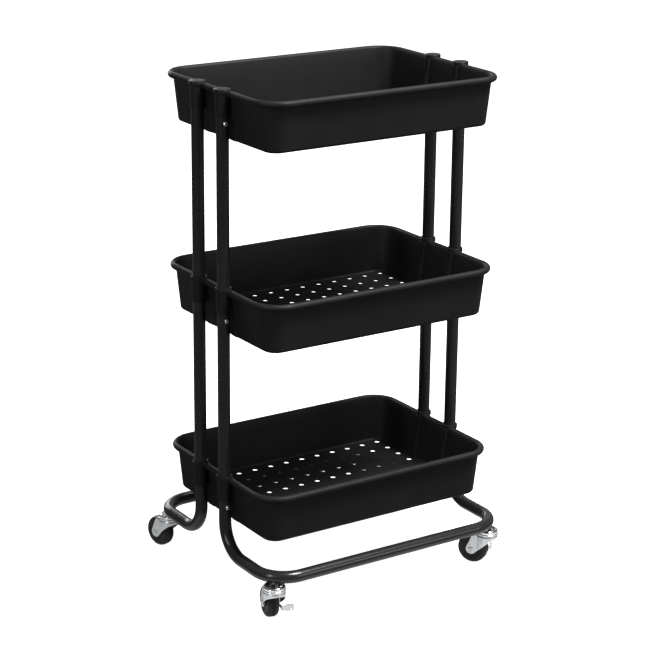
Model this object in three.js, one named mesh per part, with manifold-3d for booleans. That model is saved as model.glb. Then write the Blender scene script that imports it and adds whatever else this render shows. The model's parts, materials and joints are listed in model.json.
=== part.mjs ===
// Three-tier rolling cart: three moulded tubs stacked on four steel posts, two bent base tubes
// and four swivel casters. Millimetres, +Z up, +X along the long side, -Y is the front.
import * as THREE from 'three';
import { mergeVertices } from 'three/addons/utils/BufferGeometryUtils.js';
import Module from 'manifold-3d';

const wasm = await Module();
wasm.setup();

// ---------------------------------------------------------------- driving dimensions
const gap = 0.3; // clearance between pieces that fit into or rest on each other

const tube = { r: 9.5, wall: 1.2, sides: 12 };
tube.boreR = tube.r - tube.wall;

const post = { x: 211, y: 36 }; // post axes are at (+-x, +-y)

const rim = { x: 206.1, y: 152.8, cornerR: 40.4, beadR: 5 }; // centre line of the rim bead
rim.beadStart = -137; // degrees; where the wall runs into the bead
rim.beadSteps = 5;
const tub = { depth: 72.4, wall: 2.2, floor: 1.6, draft: 8.1, edgeR: 6, pitch: 295.5, topZ: 780 };
tub.floorInset = 19.4; // edge of the flat floor, inside the rounded foot of the wall
tub.floorLap = 0.8; // how far the wall's foot reaches over that edge
tub.beadInset = 3.4; // from the bead's centre line in to the wall's outer face
const perforation = { r: 4.5, pitchX: 30, pitchY: 31, countX: 13, countY: 9, sides: 5 };

// Column moulded on the tub at each post; heights are below the top of the rim bead.
const column = { topR: 11.4, bottomR: 10.6, collarR: 12.3, collarDrop: 4, length: 38, sides: 12 };
column.socketDepth = 30;
column.socketR = tube.r + gap;
column.spigotLength = 24;
column.spigotR = tube.boreR - 0.4;
column.webWidth = 10; // rib that ties the column to the tub's wall
column.webLap = 3; // how far that rib reaches into the column
const flute = { r: 12.5, bulge: 3, steps: 3 }; // half-round rib inside the tub behind a column
const cap = { r: 12.3, plugLength: 12, dome: 2 };

const screw = { drop: 48, headR: 4, headHeight: 2.3, shankR: 1.5, length: 9, sides: 6 };
screw.holeR = screw.shankR + gap;

const base = { z: 73, railY: 175, riseR: 47.5, cornerR: 48, bendSteps: 4, sides: tube.sides };

const caster = { bend: 42, trail: 22.5, sides: 16 }; // bend: how far round the corner the stem is
const wheel = { r: 24.5, halfWidth: 9.6, hubHalfWidth: 10.2, boreR: 3.3, edge: 6 };
wheel.hubR = 8;
wheel.dish = 1.5; // the face between hub and shoulder is sunk this deep
const fork = { crownR: 17.2, crownZ: 50.1, sheet: 1.6, legInnerY: 10.6, bossR: 8.4, skirtZ: 45.5 };
fork.legOuterY = fork.legInnerY + fork.sheet;
fork.legFrontX = -8; // where the straight legs start inside the round skirt
fork.legFrontZ = 41.5; // how low they hang there
fork.skirtEndX = 8; // how far back the round skirt reaches
fork.backLap = 8; // the crown ends this far in front of the axle
fork.backLean = 1.2; // the back edge of a leg meets the crown this far in front of the axle
const axle = { r: 3, headR: 4.2, head: 1.6, sides: 10 };
const raceway = { r: 17.4, bottomZ: fork.crownZ + fork.sheet + gap, height: 8.2, shoulder: 2 };
raceway.topZ = raceway.bottomZ + raceway.height;
const stem = { hexR: 6.4, threadR: 4, pinR: 3.4, rivetR: 6, rivet: 2, sides: 10 };
stem.threadTop = base.z + 2;
const nut = { r: 5.3, drop: 4.6, height: 5, sides: 12 }; // drop: below the tube's centre line
const brake = { sheet: 1.6, hubR: 6.5, tabX: 2, tabReach: 19.5, tabHalfHeight: 5.6, tabDrop: 6 };

// Where each caster points at rest: the angle from +X of the side its wheel trails to.
const casters = [
  { name: 'front_left', sx: -1, sy: -1, heading: 76, braked: true },
  { name: 'front_right', sx: 1, sy: -1, heading: 122, braked: true },
  { name: 'rear_left', sx: -1, sy: 1, heading: 104, braked: false },
  { name: 'rear_right', sx: 1, sy: 1, heading: 98, braked: false },
];
const corners = casters.map(({ name, sx, sy }) => ({ name, sx, sy }));

// ---------------------------------------------------------------- materials
const finish = (color, roughness, metalness) =>
  new THREE.MeshStandardMaterial({ color, roughness, metalness });
const blackPlastic = finish(0x161616, 0.5, 0);
const blackPowderCoat = finish(0x0d0d0e, 0.35, 0.2);
const wheelPlastic = finish(0x121213, 0.55, 0);
const zincPlate = finish(0xc9ccce, 0.28, 1);
const chromePlate = finish(0xdadcdd, 0.12, 1);

// ---------------------------------------------------------------- solid helpers
function solid(geometry) {
  const bare = geometry.clone();
  bare.deleteAttribute('normal');
  bare.deleteAttribute('uv');
  const merged = mergeVertices(bare, 1e-4);
  return new wasm.Manifold(new wasm.Mesh({
    numProp: 3,
    vertProperties: new Float32Array(merged.attributes.position.array),
    triVerts: new Uint32Array(merged.index.array),
  }));
}

function geometryOf(body) {
  const mesh = body.getMesh();
  const geometry = new THREE.BufferGeometry();
  geometry.setAttribute('position', new THREE.Float32BufferAttribute(mesh.vertProperties, 3));
  geometry.setIndex([...mesh.triVerts]);
  geometry.computeVertexNormals();
  return geometry;
}

const join = (bodies) => bodies.reduce((whole, body) => whole.add(body));
const cut = (body, tools) => tools.reduce((left, tool) => left.subtract(tool), body);

function addMesh(group, name, geometry, material) {
  const mesh = new THREE.Mesh(geometry, material);
  mesh.name = name;
  group.add(mesh);
  return mesh;
}

// A closed body through a row of convex outlines that all have the same number of points.
// A looped loft joins its last outline to its first; any other is capped at both ends.
function loft(rings, looped = false) {
  const count = rings[0].length;
  const positions = rings.flat().flatMap((point) => [point.x, point.y, point.z]);
  const index = [];
  const bands = looped ? rings.length : rings.length - 1;
  for (let band = 0; band < bands; band += 1) {
    const low = band * count;
    const high = ((band + 1) % rings.length) * count;
    for (let i = 0; i < count; i += 1) {
      const next = (i + 1) % count;
      index.push(low + i, low + next, high + next, low + i, high + next, high + i);
    }
  }
  const last = (rings.length - 1) * count;
  for (let i = 1; i + 1 < count && !looped; i += 1) {
    index.push(0, i + 1, i);
    index.push(last, last + i, last + i + 1);
  }
  const geometry = new THREE.BufferGeometry();
  geometry.setAttribute('position', new THREE.Float32BufferAttribute(positions, 3));
  geometry.setIndex(index);
  geometry.computeVertexNormals();
  return geometry;
}

// Turned pieces: the profile lists [radius, height] pairs and the turning axis becomes Z.
function turned(profile, sides) {
  const points = profile.map(([r, z]) => new THREE.Vector2(r, z));
  return new THREE.LatheGeometry(points, sides).rotateX(Math.PI / 2);
}

function rod(r, z0, z1, sides, topR = r) {
  return turned([[0, z0], [r, z0], [topR, z1], [0, z1]], sides);
}

// ---------------------------------------------------------------- tubs
// Rounded rectangle inset from the bead's centre line; the corners tighten as the walls lean in.
function tubOutline(inset, z) {
  const tighten = inset > 0 ? 1.4 : 1;
  const r = rim.cornerR - tighten * inset;
  const x = rim.x - inset - r;
  const y = rim.y - inset - r;
  const shape = new THREE.Path();
  shape.absarc(x, y, r, 0, Math.PI / 2);
  shape.absarc(-x, y, r, Math.PI / 2, Math.PI);
  shape.absarc(-x, -y, r, Math.PI, 1.5 * Math.PI);
  shape.absarc(x, -y, r, 1.5 * Math.PI, 2 * Math.PI);
  const arcSteps = 4;
  return shape.curves
    .filter((curve) => curve.isEllipseCurve)
    .flatMap((curve) => curve.getPoints(arcSteps))
    .map((point) => new THREE.Vector3(point.x, point.y, z));
}

// The wall's outer face leans inwards by the draft between the bead and the bottom edge.
const wallInset = (z) => tub.beadInset + (tub.draft * -z) / (tub.depth - tub.edgeR);

function tubShell() {
  const rings = [];
  const bottom = -tub.depth;
  const outerFoot = wallInset(bottom + tub.edgeR);
  for (const turn of [0, 45, 90]) {
    const angle = THREE.MathUtils.degToRad(turn);
    rings.push(tubOutline(
      outerFoot + tub.edgeR * (1 - Math.sin(angle)),
      bottom + tub.edgeR * (1 - Math.cos(angle)),
    ));
  }
  for (let step = 0; step <= rim.beadSteps; step += 1) {
    const turn = rim.beadStart + ((180 - rim.beadStart) * step) / rim.beadSteps;
    const angle = THREE.MathUtils.degToRad(turn);
    rings.push(tubOutline(-rim.beadR * Math.cos(angle), rim.beadR * Math.sin(angle)));
  }
  const innerEdgeR = tub.edgeR - tub.wall;
  const floorZ = bottom + tub.floor;
  const innerFoot = wallInset(floorZ + innerEdgeR) + tub.wall;
  rings.push(tubOutline(wallInset(-rim.beadR) + tub.wall, -rim.beadR));
  for (const turn of [90, 0]) {
    const angle = THREE.MathUtils.degToRad(turn);
    rings.push(tubOutline(
      innerFoot + innerEdgeR * (1 - Math.sin(angle)),
      floorZ + innerEdgeR * (1 - Math.cos(angle)),
    ));
  }
  const ledge = tub.floorInset + tub.floorLap;
  rings.push(tubOutline(ledge, floorZ));
  rings.push(tubOutline(ledge, bottom));
  return solid(loft(rings, true));
}

// The flat floor is pierced by a square grid of round drain holes.
function tubFloor() {
  const outline = tubOutline(tub.floorInset, 0);
  const shape = new THREE.Shape(outline.map(({ x, y }) => new THREE.Vector2(x, y)));
  const middleX = (perforation.countX - 1) / 2;
  const middleY = (perforation.countY - 1) / 2;
  for (let ix = -middleX; ix <= middleX; ix += 1) {
    for (let iy = -middleY; iy <= middleY; iy += 1) {
      const hole = new THREE.Path();
      const x = ix * perforation.pitchX;
      const y = iy * perforation.pitchY;
      for (let k = 0; k < perforation.sides; k += 1) {
        const angle = (-2 * Math.PI * k) / perforation.sides;
        const px = x + perforation.r * Math.cos(angle);
        const py = y + perforation.r * Math.sin(angle);
        if (k === 0) hole.moveTo(px, py);
        else hole.lineTo(px, py);
      }
      hole.closePath();
      shape.holes.push(hole);
    }
  }
  const floor = new THREE.ExtrudeGeometry(shape, { depth: tub.floor, bevelEnabled: false });
  return solid(floor.translate(0, 0, -tub.depth));
}

// Half-round rib on the inside of a short wall; it leans with the wall.
function tubFlute({ sx, sy }) {
  const ring = (z) => {
    const faceX = rim.x - wallInset(z) - tub.wall;
    const centreX = faceX - flute.bulge + flute.r;
    const half = Math.acos((flute.r - flute.bulge) / flute.r);
    const points = [];
    for (let step = 0; step <= flute.steps; step += 1) {
      const angle = Math.PI - half + (2 * half * step) / flute.steps;
      points.push(new THREE.Vector3(
        centreX + flute.r * Math.cos(angle),
        post.y + flute.r * Math.sin(angle),
        z,
      ));
    }
    const buried = faceX + tub.wall / 2;
    points.push(new THREE.Vector3(buried, points.at(-1).y, z));
    points.push(new THREE.Vector3(buried, points[0].y, z));
    return points;
  };
  const rib = solid(loft([ring(-tub.depth + tub.floor / 2), ring(0)]));
  return rib.scale([sx, sy, 1]);
}

function tubColumn({ sx, sy }) {
  const top = rim.beadR;
  const bottom = top - column.length;
  const sleeve = turned([
    [0, bottom - column.spigotLength],
    [column.spigotR, bottom - column.spigotLength],
    [column.spigotR, bottom],
    [column.bottomR, bottom],
    [column.topR, top - column.collarDrop],
    [column.collarR, top - column.collarDrop],
    [column.collarR, top],
    [0, top],
  ], column.sides);
  const webTop = top - column.collarDrop;
  const webOuterX = post.x - column.bottomR + column.webLap;
  const webInnerX = rim.x - wallInset(bottom) - tub.wall / 2;
  const web = new THREE.BoxGeometry(webOuterX - webInnerX, column.webWidth, webTop - bottom);
  web.translate((webOuterX + webInnerX) / 2 - post.x, 0, (webTop + bottom) / 2);
  if (sx < 0) web.rotateZ(Math.PI);
  return solid(sleeve).add(solid(web)).translate([sx * post.x, sy * post.y, 0]);
}

function tubSocket({ sx, sy }) {
  const floor = rim.beadR - column.socketDepth;
  const bore = rod(column.socketR, floor, rim.beadR + 1, tube.sides);
  return solid(bore).translate([sx * post.x, sy * post.y, 0]);
}

// Screw holes face away from the cart's middle, through the spigot and the tube around it.
function screwHole({ sx, sy }, z) {
  const inner = post.y + tube.r - screw.length - gap;
  const hole = rod(screw.holeR, inner, post.y + tube.r + 1, screw.sides).rotateX(-Math.PI / 2);
  if (sy < 0) hole.rotateX(Math.PI);
  return solid(hole).translate([sx * post.x, 0, z]);
}

function tubGeometry() {
  const body = join([
    tubShell(),
    tubFloor(),
    ...corners.map(tubColumn),
    ...corners.map(tubFlute),
  ]);
  const screwZ = rim.beadR - screw.drop;
  return geometryOf(cut(body, [
    ...corners.map(tubSocket),
    ...corners.map((corner) => screwHole(corner, screwZ)),
  ]));
}

// ---------------------------------------------------------------- caps, posts and screws
function capGeometry() {
  const seat = rim.beadR + gap;
  const plugR = column.socketR - gap;
  return turned([
    [0, seat - cap.plugLength],
    [plugR, seat - cap.plugLength],
    [plugR, seat],
    [cap.r, seat],
    [cap.r, seat + cap.dome / 2],
    [cap.r * 0.7, seat + cap.dome],
    [0, seat + cap.dome],
  ], column.sides);
}

// Posts stand in the socket of the tub below and end under the column of the tub above.
function postGeometry(corner, lowerTubZ) {
  const foot = lowerTubZ + rim.beadR - column.socketDepth + gap;
  const head = lowerTubZ + tub.pitch + rim.beadR - column.length - gap;
  const wall = turned([
    [tube.boreR, foot],
    [tube.r, foot],
    [tube.r, head],
    [tube.boreR, head],
    [tube.boreR, foot],
  ], tube.sides);
  const placed = solid(wall).translate([corner.sx * post.x, corner.sy * post.y, 0]);
  return geometryOf(cut(placed, [screwHole(corner, lowerTubZ + tub.pitch + rim.beadR - screw.drop)]));
}

// Pan-head screw pointing inwards along Y from the outside of a tube.
function screwGeometry({ sx, sy }) {
  const body = turned([
    [0, -screw.length + gap],
    [screw.shankR, -screw.length + gap],
    [screw.shankR, gap],
    [screw.headR, gap],
    [screw.headR * 0.6, gap + screw.headHeight],
    [0, gap + screw.headHeight],
  ], screw.sides);
  body.rotateX(sy < 0 ? Math.PI / 2 : -Math.PI / 2);
  body.translate(sx * post.x, sy * (post.y + tube.r), 0);
  return body;
}

// ---------------------------------------------------------------- base tubes
// Points round a bend from direction `from` to direction `to`, each with its tangent.
function bend(start, from, to, r) {
  return Array.from({ length: base.bendSteps + 1 }, (_, step) => {
    const angle = (Math.PI / 2) * (step / base.bendSteps);
    const point = start.clone()
      .addScaledVector(from, r * Math.sin(angle))
      .addScaledVector(to, r * (1 - Math.cos(angle)));
    const tangent = from.clone().multiplyScalar(Math.cos(angle))
      .addScaledVector(to, Math.sin(angle));
    return { point, tangent };
  });
}

// Down from one post, out to the rear, round two corners and back up to the other post.
function basePath(overrun) {
  const at = (x, y, z) => new THREE.Vector3(x, y, z);
  const top = tub.topZ - 2 * tub.pitch + rim.beadR - column.length - gap + overrun;
  const down = at(0, 0, -1);
  const up = at(0, 0, 1);
  const back = at(0, 1, 0);
  const forward = at(0, -1, 0);
  const left = at(-1, 0, 0);
  const cornerY = base.railY - base.cornerR;
  return [
    { point: at(post.x, post.y, top), tangent: down },
    ...bend(at(post.x, post.y, base.z + base.riseR), down, back, base.riseR),
    ...bend(at(post.x, cornerY, base.z), back, left, base.cornerR),
    ...bend(at(base.cornerR - post.x, base.railY, base.z), left, forward, base.cornerR),
    ...bend(at(-post.x, post.y + base.riseR, base.z), forward, up, base.riseR),
    { point: at(-post.x, post.y, top), tangent: up },
  ];
}

// Sweeps a circle along the path; the ring is carried along without twisting.
function sweep(path, r) {
  const normal = new THREE.Vector3(1, 0, 0);
  return loft(path.map(({ point, tangent }) => {
    normal.addScaledVector(tangent, -normal.dot(tangent)).normalize();
    const side = tangent.clone().cross(normal);
    return Array.from({ length: base.sides }, (_, k) => {
      const angle = (2 * Math.PI * k) / base.sides;
      return point.clone()
        .addScaledVector(normal, r * Math.cos(angle))
        .addScaledVector(side, r * Math.sin(angle));
    });
  }));
}

const bendAngle = THREE.MathUtils.degToRad(caster.bend);
const stemX = post.x - base.cornerR * (1 - Math.cos(bendAngle));
const stemY = base.railY - base.cornerR * (1 - Math.sin(bendAngle));

function baseTubeGeometry(sy) {
  const wall = solid(sweep(basePath(0), tube.r)).subtract(solid(sweep(basePath(1), tube.boreR)));
  const stemHole = rod(stem.threadR + gap, base.z - tube.r - 1, base.z, nut.sides);
  const screwZ = tub.topZ - 2 * tub.pitch + rim.beadR - screw.drop;
  const tools = corners.filter((corner) => corner.sy === sy).flatMap((corner) => [
    solid(stemHole).translate([corner.sx * stemX, sy * stemY, 0]),
    screwHole(corner, screwZ),
  ]);
  return geometryOf(cut(wall.scale([1, sy, 1]), tools));
}

// ---------------------------------------------------------------- casters
// Each caster is built on its stem's axis at floor level, with the wheel trailing to +X.
function wheelGeometry() {
  const { r, halfWidth, hubHalfWidth, hubR, boreR, dish, edge } = wheel;
  const half = [
    [boreR, hubHalfWidth],
    [hubR, hubHalfWidth],
    [hubR + dish, halfWidth - dish],
    [r - edge - dish * 2, halfWidth - dish],
    [r - edge, halfWidth],
    [r - edge * 0.25, halfWidth - edge * 0.65],
    [r, halfWidth - edge * 1.3],
  ];
  const mirrored = half.map(([radius, y]) => [radius, -y]).reverse();
  const profile = [...mirrored.reverse(), ...half.reverse()];
  const ring = [...profile, profile[0]];
  return turned(ring, caster.sides).rotateX(Math.PI / 2)
    .translate(caster.trail, 0, wheel.r);
}

function axleGeometry(braked) {
  const faceY = fork.legOuterY + gap;
  const brakedY = braked ? faceY + brake.sheet + gap : faceY;
  const domed = axle.headR * 0.6;
  return turned([
    [0, -faceY - axle.head],
    [domed, -faceY - axle.head],
    [axle.headR, -faceY],
    [axle.r, -faceY],
    [axle.r, brakedY],
    [axle.headR, brakedY],
    [domed, brakedY + axle.head],
    [0, brakedY + axle.head],
  ], axle.sides).rotateX(Math.PI / 2).translate(caster.trail, 0, wheel.r);
}

// Shapes drawn in the caster's X-Z plane and given a thickness along Y.
function sidePlate(shape, y0, thickness, curveSegments) {
  const plate = new THREE.ExtrudeGeometry(shape, {
    depth: thickness, bevelEnabled: false, curveSegments,
  });
  return plate.rotateX(Math.PI / 2).translate(0, y0 + thickness, 0);
}

function legShape() {
  const crownTop = fork.crownZ + fork.sheet / 2;
  const bossStart = THREE.MathUtils.degToRad(227);
  const bossEnd = THREE.MathUtils.degToRad(383);
  const shape = new THREE.Shape();
  shape.moveTo(fork.legFrontX, crownTop);
  shape.lineTo(fork.legFrontX, fork.legFrontZ);
  shape.absarc(caster.trail, wheel.r, fork.bossR, bossStart, bossEnd);
  shape.lineTo(caster.trail - fork.backLean, fork.crownZ - fork.sheet);
  shape.lineTo(caster.trail - fork.backLap + 1, crownTop);
  shape.closePath();
  const hole = new THREE.Path();
  hole.absarc(caster.trail, wheel.r, axle.r + gap, 0, 2 * Math.PI, true);
  shape.holes.push(hole);
  return shape;
}

function crownShape() {
  const backX = caster.trail - fork.backLap;
  const meet = Math.asin(fork.legOuterY / fork.crownR);
  const shape = new THREE.Shape();
  shape.moveTo(backX, fork.legOuterY);
  shape.absarc(0, 0, fork.crownR, meet, 2 * Math.PI - meet);
  shape.lineTo(backX, -fork.legOuterY);
  shape.closePath();
  const hole = new THREE.Path();
  hole.absarc(0, 0, stem.pinR + gap, 0, 2 * Math.PI, true);
  shape.holes.push(hole);
  return shape;
}

// One pressing: crown under the raceway, skirt round its front and a leg each side of the wheel.
function forkGeometry() {
  const { crownR, crownZ, sheet, legInnerY, skirtZ } = fork;
  const crown = new THREE.ExtrudeGeometry(crownShape(), {
    depth: sheet, bevelEnabled: false, curveSegments: 5,
  }).translate(0, 0, crownZ);
  const skirtRing = turned([
    [crownR - sheet, skirtZ],
    [crownR, skirtZ],
    [crownR, crownZ + sheet / 2],
    [crownR - sheet, crownZ + sheet / 2],
    [crownR - sheet, skirtZ],
  ], caster.sides);
  const frontHalf = new THREE.BoxGeometry(crownR * 2, crownR * 3, crownR).translate(
    fork.skirtEndX - crownR,
    0,
    crownZ,
  );
  const leg = (y0) => solid(sidePlate(legShape(), y0, sheet, 4));
  return geometryOf(join([
    solid(crown),
    solid(skirtRing).intersect(solid(frontHalf)),
    leg(legInnerY),
    leg(-legInnerY - sheet),
  ]));
}

function racewayGeometry() {
  const bore = stem.pinR + gap;
  return turned([
    [bore, raceway.bottomZ],
    [raceway.r, raceway.bottomZ],
    [raceway.r, raceway.topZ - raceway.shoulder],
    [raceway.r - raceway.shoulder, raceway.topZ],
    [bore, raceway.topZ],
    [bore, raceway.bottomZ],
  ], caster.sides);
}

// Threaded stem with a hexagon shoulder; its lower end is the kingpin riveted under the crown.
function stemGeometry() {
  const hexBottom = raceway.topZ + gap;
  const hexTop = base.z - tube.r - gap;
  const rivetTop = fork.crownZ - gap;
  const pin = turned([
    [0, rivetTop - stem.rivet],
    [stem.rivetR, rivetTop - stem.rivet],
    [stem.rivetR, rivetTop],
    [stem.pinR, rivetTop],
    [stem.pinR, hexBottom + 1],
    [stem.threadR, hexBottom + 1],
    [stem.threadR, stem.threadTop],
    [0, stem.threadTop],
  ], stem.sides);
  const hexagon = rod(stem.hexR, hexBottom, hexTop, 6);
  return geometryOf(solid(pin).add(solid(hexagon)));
}

// Nut held inside the base tube above the hole for the stem.
function nutGeometry() {
  const bottom = base.z - nut.drop;
  const bore = stem.threadR + gap;
  return turned([
    [bore, bottom],
    [nut.r, bottom],
    [nut.r, bottom + nut.height],
    [bore, bottom + nut.height],
    [bore, bottom],
  ], nut.sides);
}

// Side brake: a plate that turns on the end of the axle, with a foot tab bent outwards.
function brakeGeometry() {
  const y0 = -fork.legOuterY - gap - brake.sheet;
  const tabCentreZ = wheel.r - brake.tabDrop;
  const plateShape = new THREE.Shape();
  plateShape.absarc(caster.trail, wheel.r, brake.hubR, -0.6 * Math.PI, 0.6 * Math.PI);
  plateShape.lineTo(brake.tabX, tabCentreZ + brake.tabHalfHeight);
  plateShape.lineTo(brake.tabX, tabCentreZ - brake.tabHalfHeight);
  plateShape.closePath();
  const hole = new THREE.Path();
  hole.absarc(caster.trail, wheel.r, axle.r + gap, 0, 2 * Math.PI, true);
  plateShape.holes.push(hole);
  const tab = new THREE.BoxGeometry(brake.sheet, brake.tabReach, brake.tabHalfHeight * 2).translate(
    brake.tabX + brake.sheet / 2,
    y0 + brake.sheet - brake.tabReach / 2,
    tabCentreZ,
  );
  return geometryOf(solid(sidePlate(plateShape, y0, brake.sheet, 5)).add(solid(tab)));
}

function casterGroup({ name, sx, sy, heading, braked }) {
  const group = new THREE.Group();
  group.position.set(sx * stemX, sy * stemY, 0);
  group.rotation.z = THREE.MathUtils.degToRad(heading);
  addMesh(group, `${name}_stem`, stemGeometry(), zincPlate);
  addMesh(group, `${name}_nut`, nutGeometry(), zincPlate);
  addMesh(group, `${name}_raceway`, racewayGeometry(), chromePlate);
  addMesh(group, `${name}_fork`, forkGeometry(), zincPlate);
  addMesh(group, `${name}_axle`, axleGeometry(braked), zincPlate);
  addMesh(group, `${name}_wheel`, wheelGeometry(), wheelPlastic);
  if (braked) addMesh(group, `${name}_brake`, brakeGeometry(), chromePlate);
  return group;
}

// ---------------------------------------------------------------- assembly
const cart = new THREE.Group();
const tubLevels = [
  { name: 'upper', z: tub.topZ },
  { name: 'middle', z: tub.topZ - tub.pitch },
  { name: 'lower', z: tub.topZ - 2 * tub.pitch },
];

const tubBody = tubGeometry();
for (const { name, z } of tubLevels) {
  addMesh(cart, `${name}_tub`, tubBody, blackPlastic).position.z = z;
  for (const corner of corners) {
    const head = addMesh(cart, `${name}_${corner.name}_screw`, screwGeometry(corner), zincPlate);
    head.position.z = z + rim.beadR - screw.drop;
  }
}

for (const corner of corners) {
  const top = addMesh(cart, `${corner.name}_cap`, capGeometry(), blackPlastic);
  top.position.set(corner.sx * post.x, corner.sy * post.y, tub.topZ);
  const upperPost = postGeometry(corner, tub.topZ - tub.pitch);
  const lowerPost = postGeometry(corner, tub.topZ - 2 * tub.pitch);
  addMesh(cart, `${corner.name}_upper_post`, upperPost, blackPowderCoat);
  addMesh(cart, `${corner.name}_lower_post`, lowerPost, blackPowderCoat);
}

addMesh(cart, 'front_base_tube', baseTubeGeometry(-1), blackPowderCoat);
addMesh(cart, 'rear_base_tube', baseTubeGeometry(1), blackPowderCoat);
cart.add(...casters.map(casterGroup));

// The frame's origin is the middle of the footprint at floor level.
const footprint = new THREE.Box3().setFromObject(cart, true);
const middle = footprint.getCenter(new THREE.Vector3());
cart.position.set(-middle.x, -middle.y, -footprint.min.z);

const group = new THREE.Group();
group.add(cart);
group.updateMatrixWorld(true);

export default group;
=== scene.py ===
"""Looks of a three-tier rolling cart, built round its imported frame.

Sizes and shapes are in millimetres, +Z up; pieces are placed in metres.
"""
import json
import math

import bmesh
import bpy
from mathutils import Matrix, Vector


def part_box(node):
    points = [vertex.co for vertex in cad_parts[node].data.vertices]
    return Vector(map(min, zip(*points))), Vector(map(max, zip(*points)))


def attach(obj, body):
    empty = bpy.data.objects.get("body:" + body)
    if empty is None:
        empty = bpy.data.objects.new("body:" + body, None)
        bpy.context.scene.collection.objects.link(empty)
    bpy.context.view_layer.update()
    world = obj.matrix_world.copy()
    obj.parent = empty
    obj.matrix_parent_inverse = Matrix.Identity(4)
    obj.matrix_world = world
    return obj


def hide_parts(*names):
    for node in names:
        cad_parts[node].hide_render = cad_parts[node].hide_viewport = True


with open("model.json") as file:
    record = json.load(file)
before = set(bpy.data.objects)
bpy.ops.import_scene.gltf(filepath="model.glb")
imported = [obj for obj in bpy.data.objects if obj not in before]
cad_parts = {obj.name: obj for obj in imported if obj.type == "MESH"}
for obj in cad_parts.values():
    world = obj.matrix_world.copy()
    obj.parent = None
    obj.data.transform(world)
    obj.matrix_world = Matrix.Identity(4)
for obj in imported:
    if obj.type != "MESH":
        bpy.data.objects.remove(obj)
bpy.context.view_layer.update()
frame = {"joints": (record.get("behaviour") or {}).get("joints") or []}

MM = 0.001

# ---------------------------------------------------------------- sizes of the pieces
TUBE_R, TUBE_BORE = 9.5, 8.3
POST_X, POST_Y = 211.0, 36.0
RIM_X, RIM_Y, RIM_CORNER, BEAD_R = 206.1, 152.8, 40.4, 5.0
TUB_DEPTH, TUB_WALL, TUB_FLOOR, TUB_DRAFT, TUB_EDGE = 72.4, 2.2, 1.6, 8.1, 6.0
FLOOR_INSET, FLOOR_LAP, BEAD_INSET = 19.4, 0.8, 3.4
FLOOR_TOP = TUB_FLOOR + 0.4 - TUB_DEPTH  # the pierced floor stands a step above the wall's foot
HOLE_R, HOLE_PITCH_X, HOLE_PITCH_Y, HOLES_X, HOLES_Y = 4.5, 30.0, 31.0, 13, 9
COLUMN_TOP_R, COLUMN_FOOT_R, COLLAR_R, COLLAR_DROP = 11.2, 10.5, 12.2, 4.0
SLIM_TOP_R, SLIM_FOOT_R = 10.8, 10.3  # the top tub's sleeves are slimmer
COLUMN_LENGTH, SOCKET_DEPTH, SOCKET_R, SPIGOT_LENGTH, SPIGOT_R = 38.0, 30.0, 9.8, 24.0, 7.9
COLLAR_LIP = 1.9  # the middle and lower collars stand this far above the bead
FLUTE_R, FLUTE_BULGE = 12.5, 3.0
CAP_R, CAP_DOME, CAP_PLUG = 12.3, 2.0, 12.0
SCREW_HEAD_R, SCREW_HEAD, SCREW_LENGTH = 4.0, 2.3, 9.0
BASE_Z, BASE_RAIL_Y, BASE_RISE_R, BASE_CORNER_R = 73.0, 175.0, 47.5, 48.0
GAP = 0.3  # clearance between pieces that fit into or rest on each other
WHEEL_R, WHEEL_HALF, WHEEL_HUB, WHEEL_BORE = 24.5, 9.6, 10.2, 3.3
TREAD_R = WHEEL_R - 0.15  # the round tread stays inside the faceted wheel's box
CROWN_R, CROWN_Z, SHEET, LEG_IN, BOSS_R, TRAIL = 17.2, 50.1, 1.6, 10.6, 8.4, 22.5
LEG_OUT = LEG_IN + SHEET
PRESSED_R = 3.2  # outer radius of the bend between the crown and the skirt or the legs
AXLE_R, AXLE_HEAD_R = 3.0, 3.9
RACE_R, RACE_Z, RACE_H = 17.4, CROWN_Z + SHEET + GAP, 8.2
HEX_R, HEX_EASE, THREAD_R, THREAD_PITCH, PIN_R, RIVET_R = 6.4, 0.7, 4.0, 1.25, 3.4, 6.0
NUT_R, NUT_BORE, NUT_LOW, NUT_HEIGHT = 5.3, 4.3, BASE_Z - 4.6, 5.0
BRAKE_SHEET, BRAKE_HUB, TAB_X, TAB_REACH, TAB_HALF, TAB_DROP = 1.6, 6.5, 2.0, 19.5, 5.6, 6.0

CORNERS = {
    "front_left": (-1, -1),
    "front_right": (1, -1),
    "rear_left": (-1, 1),
    "rear_right": (1, 1),
}
LEVELS = ("upper", "middle", "lower")


# ---------------------------------------------------------------- outlines
def rounded(corners, closed=True, steps=5):
    """Outline through (x, y, radius) corners, each corner turned into a smooth bend."""
    points = []
    count = len(corners)
    for i, (x, y, radius) in enumerate(corners):
        here = Vector((x, y))
        if radius == 0 or (not closed and i in (0, count - 1)):
            points.append((x, y))
            continue
        before = Vector(corners[i - 1][:2]) - here
        after = Vector(corners[(i + 1) % count][:2]) - here
        half = before.angle(after) / 2
        reach = min(radius / math.tan(half), before.length * 0.49, after.length * 0.49)
        start = here + before.normalized() * reach
        end = here + after.normalized() * reach
        for step in range(steps + 1):
            t = step / steps
            p = start * (1 - t) ** 2 + here * 2 * t * (1 - t) + end * t * t
            points.append((p.x, p.y))
    return points


def arc(cx, cy, r, start, end, steps):
    """Points round a circle; angles are in degrees."""
    angles = [math.radians(start + (end - start) * k / steps) for k in range(steps + 1)]
    return [(cx + r * math.cos(a), cy + r * math.sin(a)) for a in angles]


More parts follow.
